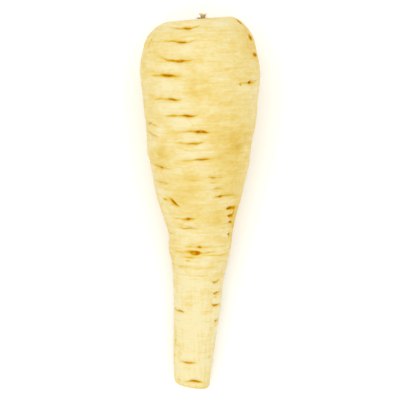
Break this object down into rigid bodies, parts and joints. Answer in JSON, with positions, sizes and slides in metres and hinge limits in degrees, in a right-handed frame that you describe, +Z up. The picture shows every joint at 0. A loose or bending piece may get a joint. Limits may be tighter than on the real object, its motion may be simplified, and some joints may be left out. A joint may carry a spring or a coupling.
{
  "type": "parsnip",
  "caption": "Trimmed raw parsnip lying on its side: a cream tapering root with brown side-root creases, a cut tip and a dry leaf-stalk stump in its hollow crown.",
  "frame": {"origin": "on the surface that the root lies on, in the middle of its length and breadth", "axes": "+Z up; +Y along the root towards its crown; the cut tip points to -Y"},
  "size_m": [0.058, 0.1849, 0.0561],
  "materials": {
    "root_skin": null,
    "dry_stalk": "dry, matt and fibrous leaf-stalk remains"
  },
  "bodies": {
    "root": {"root": "root_skin", "leaf_stalk_stubs": "dry_stalk"}
  },
  "joints": []
}
